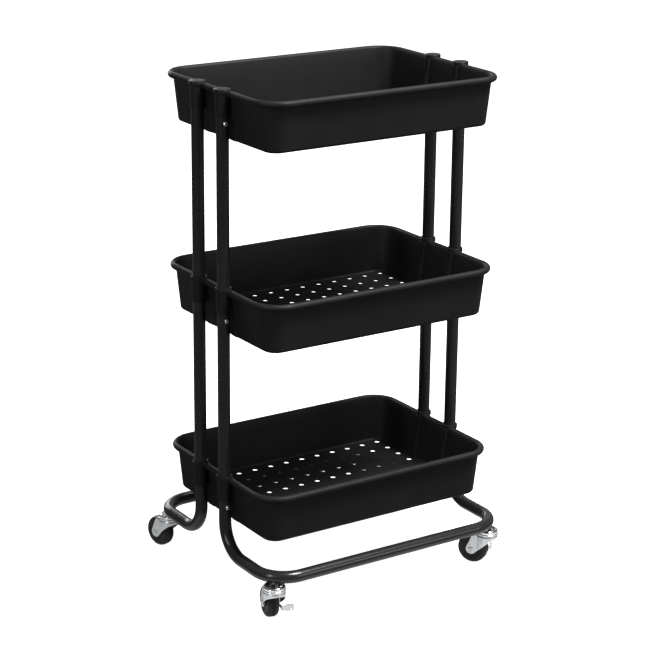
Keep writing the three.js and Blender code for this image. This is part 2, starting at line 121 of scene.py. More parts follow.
# ---------------------------------------------------------------- shapes: (vertices, faces)
def loft(rings, looped=False):
    """Skin through outlines of equal length; a looped loft joins its last outline to its first."""
    n = len(rings[0])
    verts = [p for ring in rings for p in ring]
    faces = []
    for band in range(len(rings) if looped else len(rings) - 1):
        low, high = band * n, (band + 1) % len(rings) * n
        for k in range(n):
            m = (k + 1) % n
            faces.append((low + k, low + m, high + m, high + k))
    if not looped:
        faces.append(tuple(reversed(range(n))))
        faces.append(tuple(range(len(verts) - n, len(verts))))
    return verts, faces


def turned(profile, sides, loop=False):
    """Turns (radius, height) points round Z. Points on the axis become poles."""
    verts, rows = [], []
    for r, z in profile:
        if r < 1e-6:
            rows.append([len(verts)] * sides)
            verts.append((0, 0, z))
            continue
        rows.append(list(range(len(verts), len(verts) + sides)))
        turn = 2 * math.pi / sides
        verts += [(r * math.cos(k * turn), r * math.sin(k * turn), z) for k in range(sides)]
    faces = []
    for low, high in zip(rows, rows[1:] + (rows[:1] if loop else [])):
        for k in range(sides):
            m = (k + 1) % sides
            face = list(dict.fromkeys((low[k], low[m], high[m], high[k])))
            if len(face) > 2:
                faces.append(tuple(face))
    return verts, faces


def prism(outline, z0, z1):
    """A shape drawn in the X-Y plane, given a height along Z."""
    return loft([[(x, y, z0) for x, y in outline], [(x, y, z1) for x, y in outline]])


def slab(outline, y0, y1):
    """A shape drawn in the X-Z plane, given a thickness along Y."""
    return loft([[(x, y1, z) for x, z in outline], [(x, y0, z) for x, z in outline]])


def strip(outline, x0, x1):
    """A shape drawn in the Y-Z plane, given a length along X."""
    return loft([[(x, y, z) for y, z in outline] for x in (x0, x1)])


def hexagon(radius):
    """Outline of a hexagon with corners at the given radius."""
    return arc(0, 0, radius, 0, 300, 5)


def moved(shape, matrix):
    """The shape after a matrix has turned or shifted it."""
    verts, faces = shape
    return [tuple(matrix @ Vector(v)) for v in verts], faces


def shifted(shape, x=0, y=0, z=0):
    return moved(shape, Matrix.Translation((x, y, z)))


def together(shapes):
    """Several shapes as one list of vertices and faces."""
    verts, faces = [], []
    for more, more_faces in shapes:
        start = len(verts)
        verts += more
        faces += [tuple(i + start for i in face) for face in more_faces]
    return verts, faces


# Takes a shape turned round Z to a caster's axle, which lies along Y behind the stem.
ON_AXLE = Matrix.Translation((TRAIL, 0, WHEEL_R)) @ Matrix.Rotation(math.radians(-90), 4, "X")


# ---------------------------------------------------------------- meshes
def build(name, shape):
    """An object whose mesh holds the shape, in millimetres until it is finished."""
    mesh = bpy.data.meshes.new(name)
    mesh.from_pydata(shape[0], [], shape[1])
    bm = bmesh.new()
    bm.from_mesh(mesh)
    bmesh.ops.recalc_face_normals(bm, faces=bm.faces)
    bm.to_mesh(mesh)
    bm.free()
    obj = bpy.data.objects.new(name, mesh)
    bpy.context.scene.collection.objects.link(obj)
    return obj


def apply_modifiers(obj):
    """Replaces the object's mesh by what its modifiers make of it."""
    depsgraph = bpy.context.evaluated_depsgraph_get()
    mesh = bpy.data.meshes.new_from_object(obj.evaluated_get(depsgraph))
    old = obj.data
    obj.modifiers.clear()
    obj.data = mesh
    bpy.data.meshes.remove(old)


def combine(obj, operation, shape):
    """Joins a shape to the object, cuts it out, or keeps only what both hold."""
    tool = build("tool", shape)
    step = obj.modifiers.new(operation, "BOOLEAN")
    step.operation = operation
    step.solver = "EXACT"
    step.object = tool
    apply_modifiers(obj)
    bpy.data.meshes.remove(tool.data)


def soften(obj, voxel, rounds):
    """Fuses the shape and rounds its edges, as pressing or casting does."""
    remesh = obj.modifiers.new("fuse", "REMESH")
    remesh.mode = "VOXEL"
    remesh.voxel_size = voxel
    smooth = obj.modifiers.new("round", "SMOOTH")
    smooth.factor = 0.5
    smooth.iterations = rounds
    apply_modifiers(obj)


def finished(obj, sharp=32):
    """The object's mesh in metres, smoothly shaded with its real edges kept crisp."""
    mesh = obj.data
    mesh.transform(Matrix.Scale(MM, 4))
    mesh.polygons.foreach_set("use_smooth", [True] * len(mesh.polygons))
    mesh.set_sharp_from_angle(angle=math.radians(sharp))
    weighted = obj.modifiers.new("shading", "WEIGHTED_NORMAL")
    weighted.keep_sharp = True
    apply_modifiers(obj)
    mesh = obj.data
    bpy.data.objects.remove(obj)
    return mesh


def place(name, mesh, finish, body, node, matrix):
    """Puts one piece into the scene: its place, its finish, its body and its CAD node."""
    slot, material = finish
    mesh = mesh.copy()
    mesh.transform(matrix)
    mesh.materials.append(material)
    obj = bpy.data.objects.new(name, mesh)
    bpy.context.scene.collection.objects.link(obj)
    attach(obj, body)
    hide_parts(node)


# ---------------------------------------------------------------- finishes: (slot, material)
class Nodes:
    """A material with its node tree, and short calls that add and wire shader nodes."""

    def __init__(self, name):
        self.material = bpy.data.materials.new(name)
        self.material.use_nodes = True
        self.tree = self.material.node_tree
        self.shader = self.tree.nodes["Principled BSDF"]
        coords = self.tree.nodes.new("ShaderNodeTexCoord")
        self.space = coords.outputs["Object"]

    def node(self, kind, inputs=None, **settings):
        made = self.tree.nodes.new(kind)
        for key, value in settings.items():
            setattr(made, key, value)
        for key, value in (inputs or {}).items():
            if isinstance(value, bpy.types.NodeSocket):
                self.tree.links.new(value, made.inputs[key])
            else:
                made.inputs[key].default_value = value
        return made

    def noise(self, scale, detail=2.0, stretch=None, roughness=0.55):
        where = self.space
        if stretch:
            inputs = {"Vector": self.space, "Scale": stretch}
            where = self.node("ShaderNodeMapping", inputs).outputs[0]
        made = self.node(
            "ShaderNodeTexNoise",
            {"Vector": where, "Scale": scale, "Detail": detail, "Roughness": roughness},
        )
        return made.outputs["Fac"]

    def ranged(self, value, low, high, start=0.3, end=0.7):
        inputs = {"Value": value, "From Min": start, "From Max": end, "To Min": low, "To Max": high}
        return self.node("ShaderNodeMapRange", inputs).outputs[0]

    def edges(self, radius, spread):
        """1 along convex and concave edges, 0 on open faces, with the rounded normal beside it."""
        bevel = self.node("ShaderNodeBevel", {"Radius": radius}, samples=6)
        true = self.node("ShaderNodeNewGeometry").outputs["Normal"]
        inputs = {0: bevel.outputs[0], 1: true}
        dot = self.node("ShaderNodeVectorMath", inputs, operation="DOT_PRODUCT")
        return self.ranged(dot.outputs["Value"], 1.0, 0.0, 1.0 - spread, 1.0), bevel.outputs[0]

    def bump(self, height, distance, normal=None):
        inputs = {"Height": height, "Distance": distance, "Strength": 1.0}
        if normal is not None:
            inputs["Normal"] = normal
        return self.node("ShaderNodeBump", inputs).outputs[0]

    def mix(self, factor, low, high):
        made = self.node("ShaderNodeMix", {"Factor": factor}, data_type="RGBA")
        for socket, value in zip([s for s in made.inputs if s.type == "RGBA"], (low, high)):
            if isinstance(value, bpy.types.NodeSocket):
                self.tree.links.new(value, socket)
            else:
                socket.default_value = (*value, 1)
        return [s for s in made.outputs if s.type == "RGBA"][0]

    def math(self, operation, a, b):
        return self.node("ShaderNodeMath", {0: a, 1: b}, operation=operation).outputs[0]

    def feed(self, **inputs):
        for key, value in inputs.items():
            socket = self.shader.inputs[key.replace("_", " ")]
            if isinstance(value, bpy.types.NodeSocket):
                self.tree.links.new(value, socket)
            else:
                socket.default_value = value


def plastic(name, dark, light, rough, grain, relief, worn, specular):
    """Moulded plastic: fine sparked texture, soft flow clouds, edges rubbed a little lighter."""
    n = Nodes(name)
    edge, rounded_normal = n.edges(0.0006, 0.12)
    cloud = n.noise(22, 3)
    patch = n.noise(140, 3)
    fine = n.noise(grain, 2, roughness=0.7)
    colour = n.mix(n.ranged(cloud, 0, 1), dark, light)
    scuff = n.math("MULTIPLY", edge, n.ranged(n.noise(420, 3), 0.15, 0.9))
    colour = n.mix(scuff, colour, worn)
    shine = n.ranged(patch, rough[0], rough[1])
    shine = n.math("SUBTRACT", shine, n.math("MULTIPLY", scuff, 0.1))
    normal = n.bump(fine, relief, rounded_normal)
    normal = n.bump(n.noise(30, 1), 0.00004, normal)
    n.feed(Base_Color=colour, Roughness=shine, Normal=normal, Specular_IOR_Level=specular)
    return name, n.material


def powder_coat(name):
    """Semi-gloss baked powder coat: orange peel, tiny pits, slightly polished edges."""
    n = Nodes(name)
    edge, _ = n.edges(0.0005, 0.1)
    peel = n.noise(520, 1.5)
    wave = n.noise(90, 1)
    colour = n.mix(n.ranged(n.noise(35, 3), 0, 1), (0.016, 0.016, 0.0165), (0.02, 0.02, 0.0205))
    colour = n.mix(n.math("MULTIPLY", edge, 0.6), colour, (0.03, 0.03, 0.031))
    shine = n.ranged(n.noise(160, 3), 0.2, 0.25)
    normal = n.bump(peel, 0.000002)
    normal = n.bump(wave, 0.000004, normal)
    n.feed(Base_Color=colour, Roughness=shine, Normal=normal, Specular_IOR_Level=0.4)
    n.feed(Coat_Weight=0.15, Coat_Roughness=0.2, Coat_IOR=1.45)
    return name, n.material


def plated(name, colour, tint, rough, scratch, painted_edge_shade):
    """Plated steel: faint drawn lines, cloudy plating, and painted shade that darkens edges,
    creases and recesses.
    """
    n = Nodes(name)
    edge, rounded_normal = n.edges(0.0004, 0.1)
    lines = n.noise(900, 2, stretch=(1, 1, 0.06))
    cloud = n.noise(190, 4)
    base = n.mix(n.ranged(cloud, 0, 1), colour, tint)
    # painted shade: the colour darkens along edges and in creases and recesses
    base = n.mix(n.math("MULTIPLY", edge, 0.5), base, painted_edge_shade)
    shine = n.math("ADD", n.ranged(cloud, rough[0], rough[1]), n.ranged(lines, 0, 0.06))
    normal = n.bump(lines, scratch, rounded_normal)
    normal = n.bump(n.noise(260, 2), 0.00003, normal)
    n.feed(Base_Color=base, Metallic=1.0, Roughness=shine, Normal=normal)
    return name, n.material


TUB_PLASTIC = plastic(
    "tub_plastic", (0.0125, 0.0125, 0.0125), (0.0155, 0.0155, 0.0153), (0.44, 0.54), 1500, 0.00002,
    (0.036, 0.036, 0.035), specular=0.17,
)
CAP_PLASTIC = plastic(
    "cap_plastic", (0.008, 0.008, 0.008), (0.011, 0.011, 0.011), (0.34, 0.42), 1900, 0.00002,
    (0.03, 0.03, 0.03), specular=0.45,
)
WHEEL_PLASTIC = plastic(
    "wheel_plastic", (0.012, 0.012, 0.0125), (0.019, 0.019, 0.019), (0.4, 0.52), 1100, 0.00003,
    (0.045, 0.045, 0.045), specular=0.3,
)
POWDER_COAT = powder_coat("tube_powder_coat")
# the last colour of each plated finish is its painted shade along edges and creases
SCREW_ZINC = plated(
    "screw_zinc", (0.78, 0.79, 0.8), (0.66, 0.68, 0.7), (0.18, 0.3), 0.00001, (0.4, 0.4, 0.4)
)
CASTER_ZINC = plated(
    "caster_zinc", (0.8, 0.81, 0.82), (0.7, 0.72, 0.74), (0.26, 0.4), 0.000015, (0.45, 0.46, 0.47)
)
CASTER_CHROME = plated(
    "caster_chrome", (0.85, 0.86, 0.87), (0.78, 0.79, 0.8), (0.07, 0.14), 0.000004, (0.5, 0.5, 0.5)
)
BRAKE_PLATE = plated(
    "brake_plate", (0.7, 0.71, 0.72), (0.62, 0.63, 0.65), (0.16, 0.26), 0.000006, (0.36, 0.36, 0.36)
)


# ---------------------------------------------------------------- tubs
def tub_outline(inset, z):
    """Rounded rectangle inside the bead's centre line; its corners tighten as the walls lean in."""
    arc_steps, long_steps, short_steps = 14, 12, 8
    r = RIM_CORNER - (1.4 if inset > 0 else 1) * inset
    x, y = RIM_X - inset - r, RIM_Y - inset - r
    points = []
    for (cx, cy), start, steps in (
        ((x, y), 0, long_steps),
        ((-x, y), 90, short_steps),
        ((-x, -y), 180, long_steps),
        ((x, -y), 270, short_steps),
    ):
        bend = arc(cx, cy, r, start, start + 90, arc_steps)
        points += bend
        last = bend[-1]
        along = Vector((-2 * x, 0)) if steps == long_steps else Vector((0, -2 * y))
        if start >= 180:
            along = -along
        shares = [k / steps for k in range(1, steps)]
        points += [(last[0] + along.x * share, last[1] + along.y * share) for share in shares]
    return [(px, py, z) for px, py in points]


def wall_inset(z):
    """How far the wall's outer face lies inside the bead's centre line, z below that line."""
    return BEAD_INSET - TUB_DRAFT * z / (TUB_DEPTH - TUB_EDGE)


def tub_shell():
    """Wall, rolled bead and rounded foot, lofted as one looped skin."""
    bottom = -TUB_DEPTH
    floor_z = bottom + TUB_FLOOR
    foot_r, inner_r = TUB_EDGE, TUB_EDGE - TUB_WALL
    outer_foot = wall_inset(bottom + foot_r)
    inner_foot = wall_inset(floor_z + inner_r) + TUB_WALL
    section = arc(outer_foot + foot_r, bottom + foot_r, foot_r, 270, 180, 8)
    for k in range(1, 7):
        z = bottom + foot_r + (TUB_DEPTH - foot_r - BEAD_R) * k / 7
        section.append((wall_inset(z), z))
    section += [(-px, pz) for px, pz in arc(0, 0, BEAD_R, -137, 172, 22)]
    for k in range(7):
        z = -BEAD_R + (floor_z + inner_r + BEAD_R) * k / 7
        section.append((wall_inset(z) + TUB_WALL, z))
    section += arc(inner_foot + inner_r, floor_z + inner_r, inner_r, 180, 262, 6)
    ledge = FLOOR_INSET + FLOOR_LAP
    section += [(ledge - 0.35, floor_z + 0.05), (ledge, floor_z - 0.35), (ledge, bottom)]
    return loft([tub_outline(inset, z) for inset, z in section], looped=True)


def tub_floor():
    """Flat plate inside the rounded foot of the wall."""
    outline = [(x, y) for x, y, _ in tub_outline(FLOOR_INSET, 0)]
    return prism(outline, -TUB_DEPTH, FLOOR_TOP)


def drain_holes():
    """Cutters for the square grid of round holes; their flared ends round the holes' edges."""
    low, high = -TUB_DEPTH, FLOOR_TOP
    ease = 0.3
    wide = HOLE_R + ease
    half = [(HOLE_R, ease), (HOLE_R + 0.06, ease * 0.5), (HOLE_R + 0.2, ease * 0.15), (wide, 0)]
    profile = [(0, low - 1), (wide, low - 1)]
    profile += [(r, low + z) for r, z in reversed(half)]
    profile += [(r, high - z) for r, z in half]
    profile += [(wide, high + 1), (0, high + 1)]
    cutter = turned(profile, 24)
    places = []
    for ix in range(HOLES_X):
        for iy in range(HOLES_Y):
            x = (ix - (HOLES_X - 1) / 2) * HOLE_PITCH_X
            y = (iy - (HOLES_Y - 1) / 2) * HOLE_PITCH_Y
            places.append(shifted(cutter, x, y))
    return together(places)


def tub_flute(sx, sy):
    """Half-round rib on the inside of a short wall, leaning with the wall."""
    rings = []
    for z in (-TUB_DEPTH + TUB_FLOOR / 2, -TUB_DEPTH / 2, 0):
        face = RIM_X - wall_inset(z) - TUB_WALL
        centre = face - FLUTE_BULGE + FLUTE_R
        half = math.degrees(math.acos((FLUTE_R - FLUTE_BULGE) / FLUTE_R))
        points = arc(centre, POST_Y, FLUTE_R, 180 - half, 180 + half, 16)
        buried = face + TUB_WALL / 2
        points += [(buried, points[-1][1]), (buried, points[0][1])]
        rings.append([(x * sx, y * sy, z) for x, y in points])
    return loft(rings)


def tub_column(sx, sy, lip):
    """Sleeve with a collar round the post's socket, a spigot below it, and a web to the wall."""
    top = BEAD_R
    bottom = top - COLUMN_LENGTH
    top_r, foot_r = (COLUMN_TOP_R, COLUMN_FOOT_R) if lip else (SLIM_TOP_R, SLIM_FOOT_R)
    profile = rounded([
        (0, bottom - SPIGOT_LENGTH, 0),
        (SPIGOT_R, bottom - SPIGOT_LENGTH, 0.8),
        (SPIGOT_R, bottom, 0),
        (foot_r, bottom, 0.7),
        (top_r, top - COLLAR_DROP - 0.6, 0.8),
        (COLLAR_R, top - COLLAR_DROP, 0.5),
        (COLLAR_R, top + lip, 0.9),
        (SOCKET_R - 0.5, top + lip, 0),
        (0, top + lip, 0),
    ], closed=False)
    sleeve = turned(profile, 48)
    outer = POST_X - COLUMN_FOOT_R + 3
    inner = RIM_X - wall_inset(bottom) - TUB_WALL / 2
    low, high = bottom + 0.4, top - COLLAR_DROP
    web = [(inner, -6.5), (outer, -4.5), (outer, 4.5), (inner, 6.5)]
    web = [((x - POST_X) * sx, y) for x, y in web]
    return [shifted(shape, sx * POST_X, sy * POST_Y) for shape in (sleeve, prism(web, low, high))]


def tub_socket(sx, sy, lip):
    """Cutter for the hole a post stands in, flared at its mouth."""
    top = BEAD_R + lip
    mouth = rounded([
        (0, BEAD_R - SOCKET_DEPTH, 0),
        (SOCKET_R, BEAD_R - SOCKET_DEPTH, 0.5),
        (SOCKET_R, top - 0.5, 0.3),
        (SOCKET_R + 0.6, top + 0.1, 0),
        (SOCKET_R + 0.6, top + 1, 0),
        (0, top + 1, 0),
    ], closed=False)
    return shifted(turned(mouth, 40), sx * POST_X, sy * POST_Y)


def tub_mesh(name, lip):
    """A whole tub; lip is how far its collars stand above the bead."""
    tub = build(name, tub_shell())
    combine(tub, "UNION", tub_floor())
    combine(tub, "DIFFERENCE", drain_holes())
    combine(tub, "UNION", together([tub_flute(*signs) for signs in CORNERS.values()]))
    columns = [tub_column(*signs, lip) for signs in CORNERS.values()]
    combine(tub, "UNION", together([web for _, web in columns]))
    combine(tub, "UNION", together([sleeve for sleeve, _ in columns]))
    combine(tub, "DIFFERENCE", together([tub_socket(*signs, lip) for signs in CORNERS.values()]))
    return finished(tub)


# ---------------------------------------------------------------- caps, posts and screws
def cap_mesh():
    """Domed lid with a split plug below it; heights are from the bead's centre line."""
    seat = BEAD_R + GAP
    plug = SOCKET_R - GAP
    profile = rounded([
        (0, seat - 1.2, 0),
        (plug - 1.6, seat - 1.2, 0.4),
        (plug - 1.6, seat - CAP_PLUG, 0.3),
        (plug, seat - CAP_PLUG, 0.5),
        (plug, seat, 0),
        (CAP_R, seat, 0.25),
        (CAP_R, seat + CAP_DOME * 0.55, 0.8),
        (CAP_R * 0.6, seat + CAP_DOME, 4),
        (0, seat + CAP_DOME, 0),
    ], closed=False, steps=6)
    return finished(build("cap", turned(profile, 56)))


def post_mesh(name, low, high):
    """Tube with eased cut ends, standing on Z from low to high."""
    profile = rounded([
        (TUBE_BORE, low, 0.3),
        (TUBE_R, low, 0.5),
        (TUBE_R, high, 0.5),
        (TUBE_BORE, high, 0.3),
    ])
    return finished(build(name, turned(profile, 56, loop=True)))


def screw_mesh():
    """Pan-head screw with a cross recess, pointing along -Z from the tube's face at z = 0."""
    head = rounded([
        (0, -SCREW_LENGTH + GAP, 0),
        (0.5, -SCREW_LENGTH + GAP, 0),
        (1.5, -SCREW_LENGTH + 2, 0.3),
        (1.5, 0.1, 0),
        (SCREW_HEAD_R, 0.1, 0.2),
        (SCREW_HEAD_R, 0.9, 0.6),
        (SCREW_HEAD_R * 0.7, SCREW_HEAD + 0.1, 1.0),
        (0, GAP + SCREW_HEAD, 0),
    ], closed=False)
    screw = build("screw", turned(head, 40))
    wing = prism([(-1.7, -0.38), (1.7, -0.38), (1.7, 0.38), (-1.7, 0.38)], 1.0, 4)
    across = moved(wing, Matrix.Rotation(math.radians(90), 4, "Z"))
    combine(screw, "DIFFERENCE", wing)
    combine(screw, "DIFFERENCE", across)
    return finished(screw)


# ---------------------------------------------------------------- base tubes
def bend_points(start, before, after, r, steps=16):
    """Points and directions round a right-angle bend of radius r."""
    points = []
    for k in range(steps + 1):
        a = math.radians(90) * k / steps
        where = start + before * (r * math.sin(a)) + after * (r * (1 - math.cos(a)))
        points.append((where, before * math.cos(a) + after * math.sin(a)))
    return points


def base_path(top):
    """Down from one post, out to the rear, round two corners and back up to the other post."""
    down, up = Vector((0, 0, -1)), Vector((0, 0, 1))
    back, forward, left = Vector((0, 1, 0)), Vector((0, -1, 0)), Vector((-1, 0, 0))
    corner_y = BASE_RAIL_Y - BASE_CORNER_R
    path = [(Vector((POST_X, POST_Y, top)), down)]
    for start, before, after, r in (
        ((POST_X, POST_Y, BASE_Z + BASE_RISE_R), down, back, BASE_RISE_R),
        ((POST_X, corner_y, BASE_Z), back, left, BASE_CORNER_R),
        ((BASE_CORNER_R - POST_X, BASE_RAIL_Y, BASE_Z), left, forward, BASE_CORNER_R),
        ((-POST_X, POST_Y + BASE_RISE_R, BASE_Z), forward, up, BASE_RISE_R),
    ):
        path += bend_points(Vector(start), before, after, r)
    path.append((Vector((-POST_X, POST_Y, top)), up))
    return path


def swept(path, r, sides=44):
    """Ring carried along the path without twisting."""
    normal = Vector((1, 0, 0))
    rings = []
    for point, tangent in path:
        normal = (normal - tangent * normal.dot(tangent)).normalized()
        side = tangent.cross(normal)
        turn = 2 * math.pi / sides
        rings.append([
            tuple(point + normal * (r * math.cos(k * turn)) + side * (r * math.sin(k * turn)))
            for k in range(sides)
        ])
    return rings


def base_tube_mesh(name, sy, top):
    """Hollow bent tube under the front or the rear, with its two ends up at the height top."""
    path = base_path(top)
    outer, inner = swept(path, TUBE_R), swept(path, TUBE_BORE)
    skin = loft(outer + inner[::-1], looped=True)
    return finished(build(name, moved(skin, Matrix.Diagonal((1, sy, 1, 1)))))


# ---------------------------------------------------------------- casters, built on the stem's axis
def drill(r, z0, z1):
    """Cutter for a round hole along Z."""
    return turned([(0, z0), (r, z0), (r, z1), (0, z1)], 32)


def wheel_mesh():
    """Hard wheel with a crowned tread, eased shoulders, a dished face and a raised hub."""
    half, flank = WHEEL_HALF, 17.4  # flank: where the side starts to round over into the tread
    side = [
        (WHEEL_BORE, WHEEL_HUB, 0.4),
        (6.6, WHEEL_HUB, 0.6),
        (7.6, half - 1.8, 0.8),
        (12.4, half - 1.8, 0.7),
        (13.4, half - 1.1, 0.5),
        (15.0, half - 1.1, 0.5),
        (16.0, half - 0.2, 0.6),
    ]
    for k in range(10):
        crown = math.radians(10 * k)
        side.append((flank + (TREAD_R - flank) * math.sin(crown), half * math.cos(crown) ** 0.6, 0))
    mirrored = [(x, -z, radius) for x, z, radius in side]
    profile = rounded(mirrored + side[::-1], steps=8)
    return finished(build("wheel", moved(turned(profile, 72, loop=True), ON_AXLE)), 40)


def axle_mesh(braked):
    """Riveted axle: a hollowed head outside each leg, and room for the brake lever on one side."""
    face = LEG_OUT + 0.05
    far = -face - (BRAKE_SHEET + GAP * 2 if braked else 0)
    profile = rounded([
        (0, far - 1.2, 0),
        (1.4, far - 1.3, 0.5),
        (2.6, far - 1.7, 0.6),
        (AXLE_HEAD_R, far - 0.5, 0.8),
        (AXLE_HEAD_R, far, 0.1),
        (AXLE_R, far, 0),
        (AXLE_R, face, 0),
        (AXLE_HEAD_R, face, 0.1),
        (AXLE_HEAD_R, face + 0.5, 0.8),
        (2.6, face + 1.7, 0.6),
        (1.4, face + 1.3, 0.5),
        (0, face + 1.2, 0),
    ], closed=False)
    return finished(build("axle", moved(turned(profile, 40), ON_AXLE)))


def fork_side():
    """Side view of the pressing: skirt, hollowed leading edge, boss and straight trailing edge."""
    top = CROWN_Z + SHEET
    boss = arc(TRAIL, WHEEL_R, BOSS_R, 227, 383, 20)
    front = -CROWN_R - 1
    leading = rounded([(front, 47.2, 0), (-8.0, 41.7, 10), (*boss[0], 0)], closed=False, steps=12)
    trailing = [(TRAIL - 0.4, CROWN_Z - 3), (TRAIL - 2.5, CROWN_Z), (TRAIL - 6, top + 1)]
    return [(front, top + 1), *leading[:-1], *boss, *trailing]


def fork_mesh():
    """Crown, round skirt and two legs in one pressing, trimmed to the side view."""
    top = CROWN_Z + SHEET
    low = WHEEL_R - BOSS_R - 2
    cup = rounded([
        (0, top, 0),
        (CROWN_R, top, PRESSED_R),
        (CROWN_R, low, 0),
        (CROWN_R - SHEET, low, 0),
        (CROWN_R - SHEET, CROWN_Z, PRESSED_R - SHEET),
        (0, CROWN_Z, 0),
    ], closed=False, steps=8)
    fork = build("fork", turned(cup, 72))
    meet = math.sqrt(CROWN_R ** 2 - LEG_OUT ** 2)  # where the round skirt runs into the legs
    reach = CROWN_R + 1
    round_part = [(-reach, -reach), (meet, -reach), (meet, reach), (-reach, reach)]
    combine(fork, "INTERSECT", prism(round_part, low, top + 1))
    channel = rounded([
        (-LEG_OUT, low, 0),
        (-LEG_OUT, top, PRESSED_R),
        (LEG_OUT, top, PRESSED_R),
        (LEG_OUT, low, 0),
        (LEG_IN, low, 0),
        (LEG_IN, CROWN_Z, PRESSED_R - SHEET),
        (-LEG_IN, CROWN_Z, PRESSED_R - SHEET),
        (-LEG_IN, low, 0),
    ], steps=8)
    combine(fork, "UNION", strip(channel, meet - 2.5, TRAIL + BOSS_R + 1))
    combine(fork, "INTERSECT", slab(fork_side(), -reach, reach))
    combine(fork, "DIFFERENCE", drill(PIN_R + GAP, 30, 60))
    soften(fork, 0.4, 5)
    return finished(fork, 60)


def raceway_mesh():
    """Plated upper cup of the swivel head: rolled lower lip, tall side and a sunk top."""
    z, top = RACE_Z, RACE_Z + RACE_H
    profile = rounded([
        (PIN_R + GAP, z, 0.2),
        (RACE_R, z, 0.6),
        (RACE_R, z + 2.2, 0.8),
        (RACE_R - 0.9, z + 2.9, 0.5),
        (RACE_R - 0.5, top - 2.2, 1.5),
        (RACE_R - 2.6, top, 1.6),
        (RACE_R - 5.2, top - 0.4, 1.2),
        (RACE_R - 8.0, top - 1.4, 1.6),
        (PIN_R + GAP, top - 1.4, 0.2),
    ])
    return finished(build("raceway", turned(profile, 72, loop=True)))


def stem_mesh(bottom, top):
    """Kingpin rivet, hexagon shoulder with eased corners and the thread that enters the tube."""
    hex_low, hex_high = RACE_Z + RACE_H - 1.3, BASE_Z - TUBE_R - 0.1
    core = rounded([
        (0, bottom, 0),
        (RIVET_R - 1, bottom, 0.8),
        (RIVET_R, bottom + 1.4, 0.6),
        (RIVET_R, bottom + 2, 0),
        (PIN_R, bottom + 2, 0),
        (PIN_R, hex_low + 1, 0),
        (THREAD_R, hex_low + 1, 0),
    ], closed=False)
    z = hex_high - 1
    while z + THREAD_PITCH < top:
        core += [(THREAD_R, z), (THREAD_R - 0.7, z + THREAD_PITCH / 2)]
        z += THREAD_PITCH
    core += [(THREAD_R - 0.5, top), (0, top)]
    stem = build("stem", turned(core, 32))
    head = build("hexagon", prism(hexagon(HEX_R), hex_low, hex_high))
    cone = rounded([
        (0, hex_low, 0),
        (HEX_R - HEX_EASE, hex_low, 0.1),
        (HEX_R, hex_low + HEX_EASE * 0.7, 0.1),
        (HEX_R, hex_high - HEX_EASE * 0.7, 0.1),
        (HEX_R - HEX_EASE, hex_high, 0.1),
        (0, hex_high, 0),
    ], closed=False)
    combine(head, "INTERSECT", turned(cone, 72))
    verts = [tuple(v.co) for v in head.data.vertices]
    faces = [tuple(p.vertices) for p in head.data.polygons]
    bpy.data.objects.remove(head)
    combine(stem, "UNION", (verts, faces))
    return finished(stem)


def nut_mesh():
    """Hexagonal insert nut pressed into the base tube above the stem's hole."""
    low = NUT_LOW
    rim = low + 1.2  # top of the round flange
    nut = build("nut", prism(hexagon(NUT_R), low, low + NUT_HEIGHT))
    flange = rounded([(0, low, 0), (NUT_R, low, 0.2), (NUT_R, rim, 0.3), (0, rim, 0)], closed=False)
    combine(nut, "UNION", turned(flange, 40))
    combine(nut, "DIFFERENCE", drill(NUT_BORE, low - 1, low + NUT_HEIGHT + 1))
    return finished(nut)


def brake_mesh():
    """Lever on the axle's end: a side plate, a narrow arm and a foot tab with a pressed hollow."""
    y0 = -LEG_OUT - GAP - BRAKE_SHEET
    centre = WHEEL_R - TAB_DROP
    waist = (12.4, 20.6)  # the lever dips here to pass under the fork's round skirt
    plate = arc(TRAIL, WHEEL_R, BRAKE_HUB, -108, 196, 24)
    plate += [waist, (TAB_X, centre + TAB_HALF * 0.6), (TAB_X, centre - TAB_HALF * 0.8)]
    lever = build("lever", slab(plate, y0, y0 + BRAKE_SHEET - 0.1))
    reach = y0 + BRAKE_SHEET - TAB_REACH
    neck = reach + TAB_HALF * 2
    tab = rounded([
        (y0 + BRAKE_SHEET, centre - TAB_HALF * 0.8, 0.5),
        (neck + 2.5, centre - TAB_HALF * 0.7, 1.5),
        (neck, centre - TAB_HALF, 1.5),
        (reach, centre - TAB_HALF, 2.4),
        (reach, centre + TAB_HALF, 2.4),
        (neck, centre + TAB_HALF, 1.5),
        (neck + 2.5, centre + TAB_HALF * 0.7, 1.5),
        (y0 + BRAKE_SHEET, centre + TAB_HALF * 0.8, 0.5),
    ], steps=6)
    combine(lever, "UNION", strip(tab, TAB_X, TAB_X + BRAKE_SHEET))
    pocket_y, half = reach + TAB_HALF, 3.2
    corners = ((-half, -half), (half, -half), (half, half), (-half, half))
    pocket = rounded([(pocket_y + y, centre + z, 1.4) for y, z in corners])
    combine(lever, "DIFFERENCE", strip(pocket, TAB_X - 1, TAB_X + 0.6))
    combine(lever, "DIFFERENCE", moved(drill(AXLE_R + GAP, y0 - 4, y0 + 4), ON_AXLE))
    soften(lever, 0.3, 3)
    return finished(lever, 60)


# ---------------------------------------------------------------- assembly
def centre_of(node):
    """Middle of a CAD node's box."""
    low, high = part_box(node)
    return (low + high) / 2


def at(x, y, z):
    """Matrix that moves a piece to a point, in metres."""
    return Matrix.Translation((x, y, z))


def place_tubs():
    upper = tub_mesh("upper_tub_moulding", 0.0)
    lower = tub_mesh("tub_moulding", COLLAR_LIP)
    for level in LEVELS:
        node = f"{level}_tub"
        middle = centre_of(node)
        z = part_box(node)[1].z - BEAD_R * MM
        mesh = upper if level == "upper" else lower
        place(f"{level}_tub_moulding", mesh, TUB_PLASTIC, "frame", node, at(middle.x, middle.y, z))


